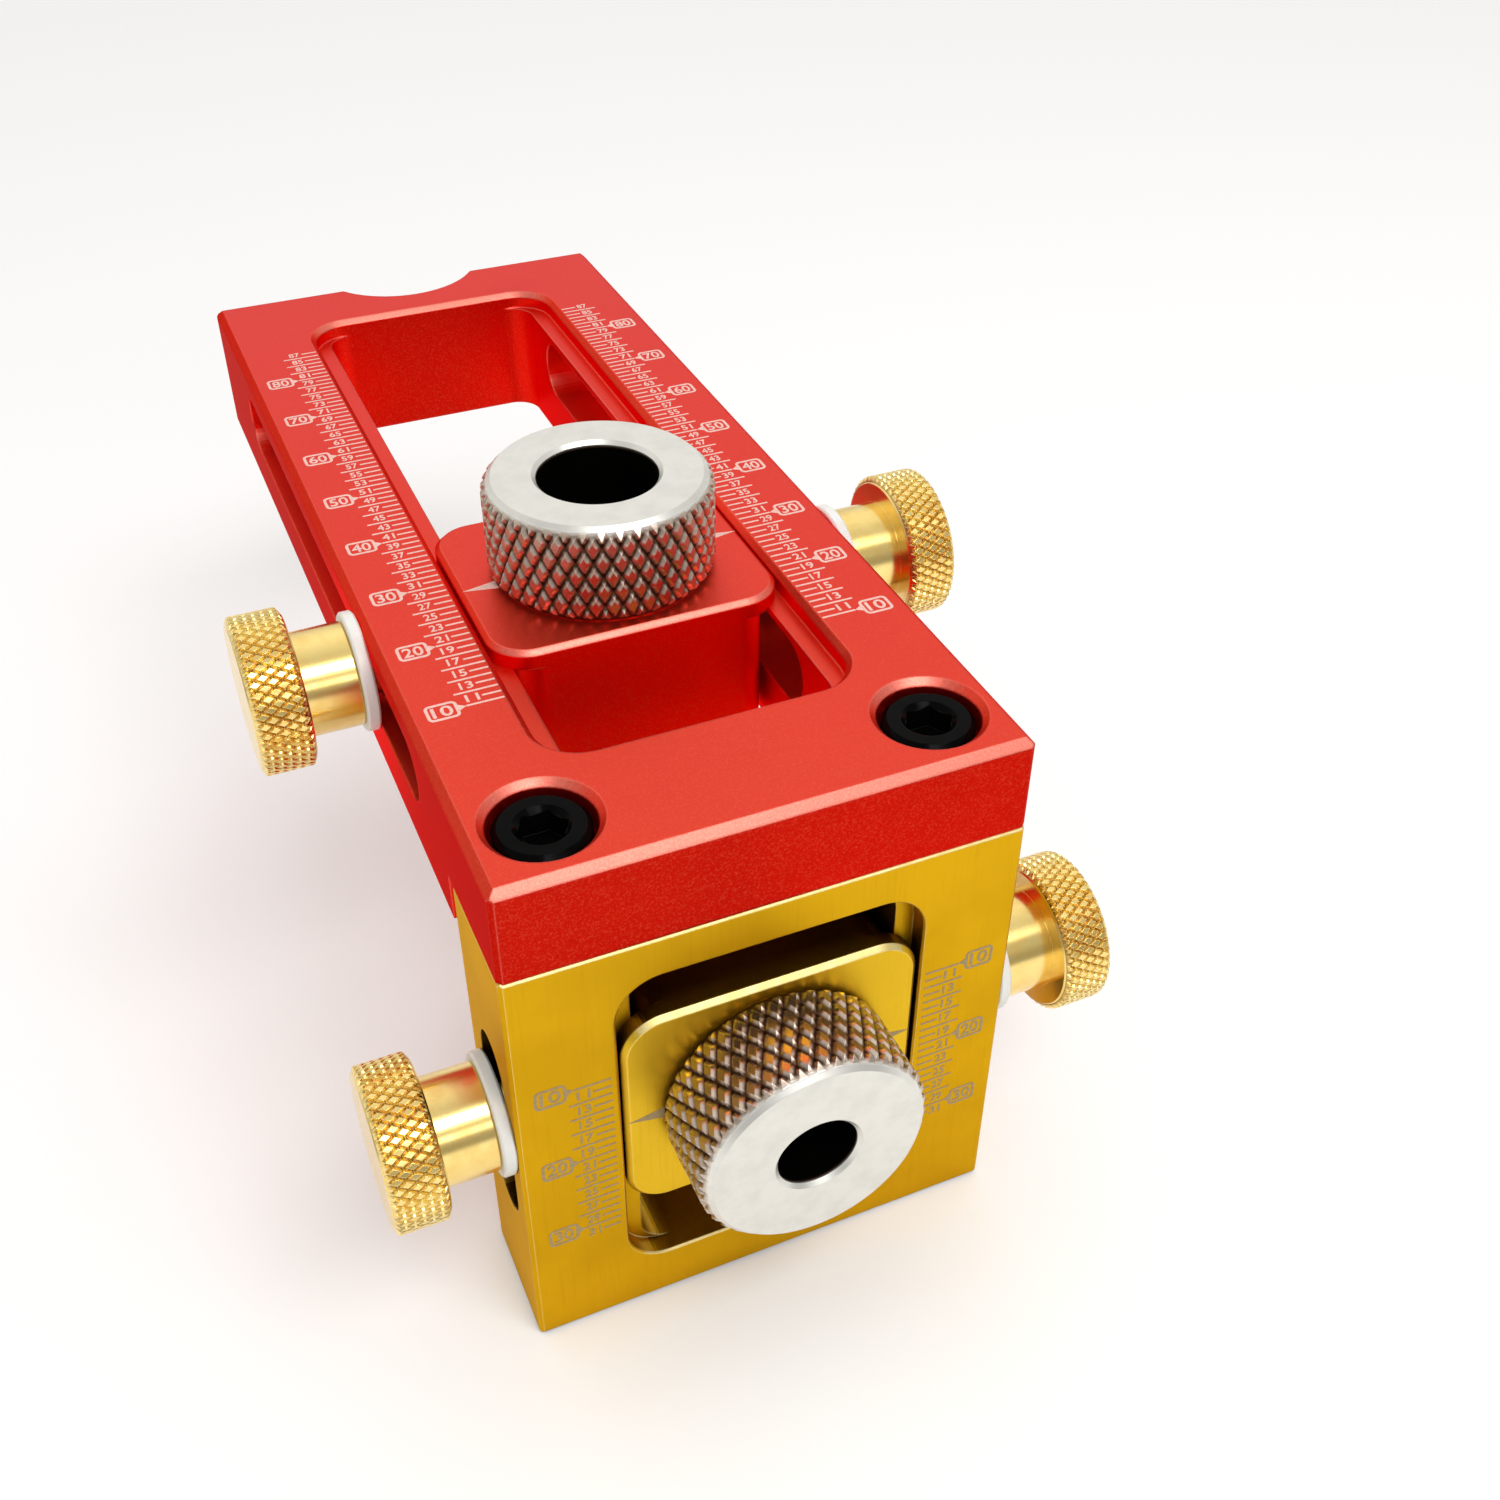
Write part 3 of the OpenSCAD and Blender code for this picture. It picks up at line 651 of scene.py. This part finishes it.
def scale_lines_mesh(sizes, last, direction, side, material):
    """Lines of one scale: odd lines are short, even lines long and tens lines end at their pointers."""
    inputs = [
        ("First", "Int", sizes.first), ("Lines", "Int", last - sizes.first + 1),
        ("Pitch", "Float", direction * MM),
        ("Side", "Float", side), ("Rim", "Float", sizes.rim), ("Odd End", "Float", sizes.odd_end),
        ("Even End", "Float", sizes.even_end), ("Tens End", "Float", sizes.pointer_start),
        ("Width", "Float", sizes.line_w), ("Thickness", "Float", sizes.proud * LINE_PROUD),
        ("Material", "Material", material),
    ]
    tree, wire, given = new_tree("scale_lines", inputs)
    reading = given["First"] + wire.node("GeometryNodeInputIndex")
    odd = reading % 2.0
    ten = (reading % 10.0) < 0.5
    even_end = given["Even End"] + ten * (given["Tens End"] - given["Even End"])
    end = even_end + odd * (given["Odd End"] - even_end)
    line_len = end - given["Rim"]
    middle = wire.node(
        "ShaderNodeCombineXYZ", {},
        {"X": given["Side"] * (given["Rim"] + line_len * 0.5), "Y": reading * given["Pitch"]}
    )
    points = wire.node("GeometryNodePoints", {}, {"Count": given["Lines"], "Position": middle})
    bar = wire.node("GeometryNodeMeshCube", {}, {"Size": (1.0, 1.0, 1.0)})
    size = wire.node(
        "ShaderNodeCombineXYZ", {}, {"X": line_len, "Y": given["Width"], "Z": given["Thickness"]}
    )
    bars = wire.node("GeometryNodeInstanceOnPoints", {}, {"Points": points, "Instance": bar, "Scale": size})
    close_tree(wire, bars, given["Material"])
    return grown_mesh(tree, inputs)


def number_mesh(number, width, height, thickness, weight):
    """Flat number of a given size, centred on the origin."""
    text = bpy.data.curves.new("number", "FONT")
    text.body = str(number)
    text.align_x = "CENTER"
    text.size = 1.0
    text.offset = weight
    text.resolution_u = 3
    text.extrude = 0.5
    holder = bpy.data.objects.new("number", text)
    bpy.context.scene.collection.objects.link(holder)
    graph = bpy.context.evaluated_depsgraph_get()
    mesh = bpy.data.meshes.new_from_object(holder.evaluated_get(graph), depsgraph=graph)
    bpy.data.objects.remove(holder)
    bpy.data.curves.remove(text)
    low = Vector([min(vertex.co[axis] for vertex in mesh.vertices) for axis in range(3)])
    high = Vector([max(vertex.co[axis] for vertex in mesh.vertices) for axis in range(3)])
    span = high - low
    fit = Matrix.Diagonal((width / span.x, height / span.y, thickness / span.z, 1.0))
    mesh.transform(fit @ Matrix.Translation(-(low + high) / 2))
    return mesh


def add_mesh(bm, mesh, matrix=None):
    """Adds a mesh to a bmesh and frees it."""
    if matrix:
        mesh.transform(matrix)
    bm.from_mesh(mesh)
    bpy.data.meshes.remove(mesh)


def add_prism(bm, outline, thickness):
    """Adds a flat closed form over an outline, half its thickness above z = 0."""
    low = [bm.verts.new((x, y, -thickness / 2)) for x, y in outline]
    high = [bm.verts.new((x, y, thickness / 2)) for x, y in outline]
    bm.faces.new(high)
    bm.faces.new(low[::-1])
    for i in range(len(outline)):
        k = (i + 1) % len(outline)
        bm.faces.new((low[i], low[k], high[k], high[i]))


def rounded_outline(middle_x, middle_y, width, height, radius):
    """Points of a rectangle with round corners."""
    points = []
    for turn, (sx, sy) in enumerate(((1, 1), (-1, 1), (-1, -1), (1, -1))):
        for part in range(5):
            angle = math.radians(90 * turn + 22.5 * part)
            points.append((
                middle_x + sx * (width / 2 - radius) + radius * math.cos(angle),
                middle_y + sy * (height / 2 - radius) + radius * math.sin(angle),
            ))
    return points


def add_box_outline(bm, middle_x, middle_y, width, height, radius, line, thickness):
    """Adds the drawn outline of a rounded box."""
    rings = []
    for inset, z in ((0.0, -0.5), (0.0, 0.5), (line, 0.5), (line, -0.5)):
        outline = rounded_outline(middle_x, middle_y, width - 2 * inset, height - 2 * inset, radius - inset)
        rings.append([bm.verts.new((x, y, z * thickness)) for x, y in outline])
    count = len(rings[0])
    for ring in range(4):
        near, far = rings[ring], rings[(ring + 1) % 4]
        for i in range(count):
            k = (i + 1) % count
            bm.faces.new((near[i], near[k], far[k], far[i]))


def scale_piece(name, sizes, last, direction, place, material):
    """Both scales beside one slot, with their numbers, boxes and pointers."""
    bm = bmesh.new()
    thickness = sizes.proud * MARK_PROUD
    for side in (-1.0, 1.0):
        add_mesh(bm, scale_lines_mesh(sizes, last, direction, side, material))
        for reading in range(sizes.first, last + 1):
            y = reading * direction * MM
            if reading % 10 == 0:
                middle = (sizes.box_near + sizes.box_far) / 2 * side
                box_w = sizes.box_far - sizes.box_near
                add_box_outline(bm, middle, y, box_w, sizes.box_h, sizes.box_r, sizes.box_line, thickness)
                tip, foot = side * sizes.pointer_start, side * (sizes.box_near + sizes.box_line / 2)
                half = sizes.pointer_h / 2
                pointer = [(tip, y), (foot, y - half), (foot, y + half)]
                add_prism(bm, pointer[::int(-side)], sizes.proud * POINTER_PROUD)
                digits = number_mesh(reading, sizes.ten_w, sizes.ten_h, thickness, sizes.weight)
                add_mesh(bm, digits, Matrix.Translation((middle, y, 0.0)))
            elif reading % 2 == 1:
                digits = number_mesh(reading, sizes.odd_w, sizes.odd_h, thickness, sizes.weight)
                add_mesh(bm, digits, Matrix.Translation((side * sizes.odd_middle, y, 0.0)))
    bm.transform(place)
    return finished_piece(name, bm, material)


def index_piece(name, sizes, place, material):
    """Wedge marks on both sides of a slider."""
    bm = bmesh.new()
    half = sizes.index_w / 2
    for side in (-1, 1):
        tip, foot = side * sizes.index_tip, side * sizes.index_foot
        wedge = [(tip, 0.0), (foot, -half), (foot, half)]
        add_prism(bm, wedge[::-side], sizes.proud * MARK_PROUD)
    bm.transform(place)
    return finished_piece(name, bm, material)


def finished_piece(name, bm, material, sharp=None):
    """New object at the origin, with outward faces and one material."""
    bmesh.ops.recalc_face_normals(bm, faces=bm.faces)
    mesh = bpy.data.meshes.new(name)
    bm.to_mesh(mesh)
    bm.free()
    mesh.materials.clear()
    mesh.materials.append(material)
    for polygon in mesh.polygons:
        polygon.material_index = 0
    if sharp:
        mesh.shade_smooth()
        mesh.set_sharp_from_angle(angle=sharp)
    else:
        mesh.shade_flat()
    piece = bpy.data.objects.new(name, mesh)
    bpy.context.scene.collection.objects.link(piece)
    return piece


def add_turned(bm, profile, segments):
    """Adds a closed form turned round z from pairs of radius and height; a loop, or from axis to axis."""
    rings = []
    for r, z in profile:
        if r == 0.0:
            rings.append([bm.verts.new((0.0, 0.0, z))])
        else:
            turns = [2.0 * math.pi * i / segments for i in range(segments)]
            rings.append([bm.verts.new((r * math.cos(a), r * math.sin(a), z)) for a in turns])
    closed = profile[0][0] != 0.0
    pairs = list(zip(rings, rings[1:] + rings[:1])) if closed else list(zip(rings, rings[1:]))
    for near, far in pairs:
        for i in range(segments):
            k = (i + 1) % segments
            corners = [near[i % len(near)], near[k % len(near)], far[k % len(far)], far[i % len(far)]]
            bm.faces.new(list(dict.fromkeys(corners)))


def add_knurl(bm, mesh, head_r, groove, high):
    """Adds a knurl's sheet, joins its two open ends by an inner wall and stores how deep each corner lies."""
    part = bmesh.new()
    part.from_mesh(mesh)
    bpy.data.meshes.remove(mesh)
    rims = [edge for edge in part.edges if edge.is_boundary]
    bmesh.ops.bridge_loops(part, edges=rims)
    bmesh.ops.recalc_face_normals(part, faces=part.faces)
    filled = bpy.data.meshes.new("filled")
    part.to_mesh(filled)
    part.free()
    first = len(bm.verts)
    add_mesh(bm, filled)
    bm.verts.ensure_lookup_table()
    layer = bm.verts.layers.float["depth"]
    for vertex in bm.verts[first:]:
        vertex[layer] = min(1.0, (head_r - vertex.co.xy.length) / groove, (high - vertex.co.z) / groove / 1.5)


def keep_own_place(bm):
    """Stores each corner's place in millimetres from the piece's seat."""
    layer = bm.verts.layers.float_vector.new("own")
    for vertex in bm.verts:
        vertex[layer] = vertex.co / MM


def bush_piece(name, sizes, bore_r, place, material):
    """Drill bush: turned core with a bore, diamond knurl and threaded shank."""
    inset = 0.12 * MM
    core_r = sizes.head_r - sizes.groove - inset
    lift = core_r - sizes.face_r
    lead = sizes.bore_lead
    ridge = 0.34 * MM
    root_r = sizes.shank_r - ridge * 1.5
    undercut, tip, edge = 0.2 * MM, 0.7 * MM, 0.3 * MM
    neck_r = root_r - undercut
    end = -sizes.shank_len
    bm = bmesh.new()
    depth = bm.verts.layers.float.new("depth")
    add_turned(bm, [
        (bore_r + lead, end), (neck_r, end), (root_r, end + tip), (root_r, -sizes.neck_len),
        (neck_r, -sizes.neck_len - undercut), (neck_r, 0.0), (core_r - edge, 0.0), (core_r, edge),
        (core_r, sizes.head_h - lift), (sizes.face_r, sizes.head_h), (bore_r + lead, sizes.head_h),
        (bore_r, sizes.head_h - lead), (bore_r, sizes.head_h - 2 * lead), (bore_r, end + 2 * lead),
        (bore_r, end + lead),
    ], segments=128)
    # Depth 2 marks the inside of the bore, which the steel finish paints near black as painted shade.
    for vertex in bm.verts:
        inside = vertex.co.xy.length < bore_r + lead / 2 and end < vertex.co.z - 1.5 * lead
        vertex[depth] = 2.0 if inside and vertex.co.z < sizes.head_h - 1.5 * lead else 0.0
    buried = 0.05 * MM
    high = sizes.head_h - lift + buried
    knurl = knurl_mesh(sizes, edge / 2, high, core_r - buried, slope=1.0, material=material)
    add_knurl(bm, knurl, sizes.head_r, sizes.groove, high)
    runout = 0.5 * MM
    thread = thread_mesh(
        sizes.shank_r, ridge, sizes.pitch, end + 2 * runout, -sizes.neck_len - runout, material
    )
    add_mesh(bm, thread)
    keep_own_place(bm)
    bm.transform(place)
    return finished_piece(name, bm, material, SHARP_ANGLE)


def screw_piece(name, sizes, place, material):
    """Thumb screw: stud, plain stem and knurled head."""
    inset = 0.10 * MM
    core_r = sizes.head_r - sizes.groove - inset
    head_z = sizes.washer + sizes.stem_len
    face_z = head_z + sizes.head_w
    edge = sizes.edge
    ridge = 0.30 * MM
    root_r = sizes.stud_r - ridge * 1.5
    soft, tip, runout, shoulder = 0.15 * MM, 0.3 * MM, 0.6 * MM, 0.1 * MM
    end = -sizes.stud_len
    bm = bmesh.new()
    bm.verts.layers.float.new("depth")
    add_turned(bm, [
        (0.0, end), (root_r - tip, end), (root_r, end + tip), (root_r, shoulder - runout),
        (sizes.stud_r, -shoulder), (sizes.stud_r, sizes.washer),
        (sizes.stem_r - soft, sizes.washer), (sizes.stem_r, sizes.washer + soft),
        (sizes.stem_r, head_z), (core_r - edge, head_z), (core_r, head_z + edge), (core_r, face_z - edge),
        (core_r - edge, face_z), (0.0, face_z),
    ], segments=96)
    buried = 0.05 * MM
    low, high = head_z + edge * 0.5, face_z - edge * 0.5
    knurl = knurl_mesh(sizes, low, high, core_r - buried, slope=1.8, material=material)
    add_knurl(bm, knurl, sizes.head_r, sizes.groove, high)
    add_mesh(bm, thread_mesh(sizes.stud_r, ridge, sizes.pitch, end + runout, -runout, material))
    keep_own_place(bm)
    bm.transform(place)
    return finished_piece(name, bm, material, SHARP_ANGLE)


def on_top(y):
    """Place of a form on the top frame's face, with its own y along the slot."""
    return Matrix.Translation((0.0, y, TOP_FACE))


def on_front(z):
    """Place of a form on the front frame's face, with its own y upwards."""
    return Matrix.Translation((0.0, FRONT_FACE, z)) @ Matrix.Rotation(math.radians(90), 4, "X")


def on_side(node, side):
    """Place of a form on a frame's side, along a thumb screw's axis and pointing outwards."""
    low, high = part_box(node)
    middle = [(low[axis] + high[axis]) / 2 for axis in range(3)]
    turn = Matrix.Rotation(math.radians(90 * side), 4, "Y")
    return Matrix.Translation((side * HALF_W, middle[1], middle[2])) @ turn


def dress(material, *nodes):
    """Gives CAD nodes a finish."""
    for node in nodes:
        slots = frame["nodes"][node].data.materials
        slots.clear()
        slots.append(material)


class JIG_OT_frames(bpy.types.Operator):
    """Finish the two frames and their sliders"""

    bl_idname = "jig.frames"
    bl_label = "Frames and sliders"

    def execute(self, context):
        colours = context.scene.jig_colours
        dress(anodised_red(colours), "top_frame", "top_slider")
        dress(anodised_gold("gold_anodised_frame", colours.gold, colours.gold_edge), "front_frame")
        dress(anodised_gold("gold_anodised_slider", colours.gold_slider, colours.gold_edge), "front_slider")
        return {"FINISHED"}


class JIG_OT_scales(bpy.types.Operator):
    """Mark the scales on both frames"""

    bl_idname = "jig.scales"
    bl_label = "Scales"

    def execute(self, context):
        sizes = context.scene.jig_scales
        colours = context.scene.jig_colours
        white = laser_mark("marks_on_red", Vector(colours.marks_on_red))
        grey = laser_mark("marks_on_gold", Vector(colours.marks_on_gold))
        top = scale_piece("top_scale", sizes, sizes.top_last, 1.0, on_top(0.0), white)
        front = scale_piece("front_scale", sizes, sizes.front_last, -1.0, on_front(0.0), grey)
        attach(top, "frame")
        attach(front, "frame")
        top_index = index_piece("top_slider_index", sizes, on_top(TOP_READING), white)
        front_index = index_piece("front_slider_index", sizes, on_front(-FRONT_READING), grey)
        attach(top_index, "top_slider")
        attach(front_index, "front_slider")
        return {"FINISHED"}


class JIG_OT_bushes(bpy.types.Operator):
    """Turn the two drill bushes"""

    bl_idname = "jig.bushes"
    bl_label = "Drill bushes"

    def execute(self, context):
        sizes = context.scene.jig_bush
        steel = turned_steel(context.scene.jig_colours, (sizes.head_r - sizes.groove) / MM)
        for node, place in (("top_bush", on_top(TOP_READING)), ("front_bush", on_front(-FRONT_READING))):
            bore_r = MOUNTS[node + "_bore"]["dims"]["r_mm"] * MM
            piece = bush_piece(node + "_turned", sizes, bore_r, place, steel)
            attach(piece, node)
            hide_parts(node)
        return {"FINISHED"}


class JIG_OT_thumb_screws(bpy.types.Operator):
    """Turn the four thumb screws"""

    bl_idname = "jig.thumb_screws"
    bl_label = "Thumb screws"

    def execute(self, context):
        sizes = context.scene.jig_screw
        brass = polished_brass(context.scene.jig_colours)
        for side, word in ((-1, "left"), (1, "right")):
            for row in ("top", "front"):
                node = f"{row}_screw_{word}"
                piece = screw_piece(node + "_turned", sizes, on_side(node, side), brass)
                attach(piece, node)
                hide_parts(node)
        return {"FINISHED"}


class JIG_OT_washers(bpy.types.Operator):
    """Finish the nylon washers"""

    bl_idname = "jig.washers"
    bl_label = "Washers"

    def execute(self, context):
        nylon = white_nylon(context.scene.jig_colours)
        dress(nylon, "top_washer_left", "top_washer_right", "front_washer_left", "front_washer_right")
        return {"FINISHED"}


class JIG_OT_cap_screws(bpy.types.Operator):
    """Finish the socket head screws that join the frames"""

    bl_idname = "jig.cap_screws"
    bl_label = "Cap screws"

    def execute(self, context):
        dress(blackened_steel(context.scene.jig_colours), "cap_screw_left", "cap_screw_right")
        return {"FINISHED"}


def studio_floor(sizes, colours):
    """Pale floor under the jig, which can be seen through from below."""
    bm = bmesh.new()
    bmesh.ops.create_circle(bm, cap_ends=True, segments=96, radius=sizes.floor_r)
    mesh = bpy.data.meshes.new("floor")
    bm.to_mesh(mesh)
    bm.free()
    mesh.transform(Matrix.Translation((0.0, 0.0, FOOT - sizes.floor_gap)))
    floor = bpy.data.objects.new("floor", mesh)
    bpy.context.scene.collection.objects.link(floor)
    material, wire, shader = new_finish("studio_floor", Roughness=0.7, Specular_IOR_Level=0.2)
    shader.inputs["Base Color"].default_value = opaque(colours.floor)
    path = wire.node("ShaderNodeLightPath")
    seen = path.at("Is Camera Ray").most(path.at("Is Glossy Ray")).most(path.at("Is Transmission Ray"))
    glow = wire.node(
        "ShaderNodeEmission", {}, {"Color": (1.0, 1.0, 1.0, 1.0), "Strength": seen * sizes.floor_glow}
    )
    solid = wire.node("ShaderNodeAddShader", {}, {0: Wire(wire.tree, shader.outputs[0]), 1: glow})
    clear = wire.node("ShaderNodeBsdfTransparent")
    below = wire.node("ShaderNodeNewGeometry", out="Backfacing")
    mixed = wire.node("ShaderNodeMixShader", {}, {0: below, 1: solid, 2: clear})
    ending = material.node_tree.nodes["Material Output"]
    wire.tree.links.new(mixed.socket, ending.inputs["Surface"])
    mesh.materials.append(material)


def studio_walls(sizes):
    """Soft light from all round, brighter above and behind."""
    world = bpy.data.worlds.new("studio")
    world.use_nodes = True
    bpy.context.scene.world = world
    wire = Wire(world.node_tree)
    way = wire.node("ShaderNodeSeparateXYZ", {}, {0: wire.node("ShaderNodeTexCoord", out="Generated")})
    up = way.at("Z").step(-0.1, 0.8)
    behind = (way.at("Y") * 0.9 + way * 0.15).step(-0.5, 0.7)
    wall, ceiling = 0.45, 0.30
    front, back = 0.62, 0.63
    strength = (wall + up * ceiling) * (front + behind * back) * sizes.sky
    backdrop = world.node_tree.nodes["Background"]
    wire.tree.links.new(strength.socket, backdrop.inputs["Strength"])
    backdrop.inputs["Color"].default_value = (1.0, 0.985, 0.96, 1.0)


def soft_lamp(name, direction, distance, width, height, power, target):
    """Area lamp that faces a target from a direction."""
    lamp = bpy.data.lights.new(name, "AREA")
    lamp.shape = "RECTANGLE"
    lamp.size = width
    lamp.size_y = height
    lamp.energy = power
    holder = bpy.data.objects.new(name, lamp)
    toward = Vector(direction).normalized()
    holder.location = Vector(target) + toward * distance
    holder.rotation_euler = toward.to_track_quat("Z", "Y").to_euler()
    bpy.context.scene.collection.objects.link(holder)


def photo_camera(sizes):
    """Camera at the viewing angle of the photograph."""
    lens = bpy.data.cameras.new("camera")
    lens.lens = sizes.lens
    lens.sensor_width = 36.0
    lens.clip_start = 0.005
    lens.clip_end = 20.0
    camera = bpy.data.objects.new("camera", lens)
    place, aim = Vector(sizes.camera), Vector(sizes.aim)
    away = (place - aim).normalized()
    right = Vector((0.0, 0.0, 1.0)).cross(away).normalized()
    turn = Matrix.Rotation(sizes.roll, 3, away)
    right = turn @ right
    above = away.cross(right)
    camera.matrix_world = Matrix((
        (right.x, above.x, away.x, place.x),
        (right.y, above.y, away.y, place.y),
        (right.z, above.z, away.z, place.z),
        (0.0, 0.0, 0.0, 1.0),
    ))
    bpy.context.scene.collection.objects.link(camera)
    bpy.context.scene.camera = camera


class JIG_OT_stage(bpy.types.Operator):
    """Set up the floor, the lights and the camera"""

    bl_idname = "jig.stage"
    bl_label = "Stage"

    def execute(self, context):
        sizes = context.scene.jig_stage
        studio_floor(sizes, context.scene.jig_colours)
        studio_walls(sizes)
        soft_lamp(
            "key", direction=(0.10, -0.55, 0.83), distance=0.60, width=0.40, height=0.20,
            power=sizes.key, target=sizes.lit
        )
        soft_lamp(
            "strip", direction=(0.10, -0.89, 0.45), distance=0.70, width=0.36, height=0.12,
            power=sizes.strip, target=sizes.lit
        )
        photo_camera(sizes)
        context.scene.view_settings.view_transform = "Standard"
        return {"FINISHED"}


class JIG_PT_looks(bpy.types.Panel):
    """Pieces and stage of the drilling jig"""

    bl_idname = "JIG_PT_looks"
    bl_label = "Drilling jig"
    bl_space_type = "VIEW_3D"
    bl_region_type = "UI"
    bl_category = "Jig"

    def draw(self, context):
        for operator in OPERATORS:
            self.layout.operator(operator.bl_idname)
        for _, holder in GROUPS:
            group = getattr(context.scene, holder)
            box = self.layout.box()
            for name in group.__annotations__:
                box.prop(group, name)


OPERATORS = (
    JIG_OT_frames, JIG_OT_scales, JIG_OT_bushes, JIG_OT_thumb_screws, JIG_OT_washers, JIG_OT_cap_screws,
    JIG_OT_stage,
)
GROUPS = (
    (ScaleSizes, "jig_scales"), (BushSizes, "jig_bush"), (ScrewSizes, "jig_screw"),
    (FinishColours, "jig_colours"), (StageSizes, "jig_stage"),
)


def register():
    for group, holder in GROUPS:
        bpy.utils.register_class(group)
        setattr(bpy.types.Scene, holder, PointerProperty(type=group))
    for operator in OPERATORS:
        bpy.utils.register_class(operator)
    bpy.utils.register_class(JIG_PT_looks)


def unregister():
    bpy.utils.unregister_class(JIG_PT_looks)
    for operator in reversed(OPERATORS):
        bpy.utils.unregister_class(operator)
    for group, holder in reversed(GROUPS):
        delattr(bpy.types.Scene, holder)
        bpy.utils.unregister_class(group)


def main():
    register()
    bpy.ops.jig.frames()
    bpy.ops.jig.scales()
    bpy.ops.jig.bushes()
    bpy.ops.jig.thumb_screws()
    bpy.ops.jig.washers()
    bpy.ops.jig.cap_screws()
    bpy.ops.jig.stage()


if __name__ == "__main__":
    main()
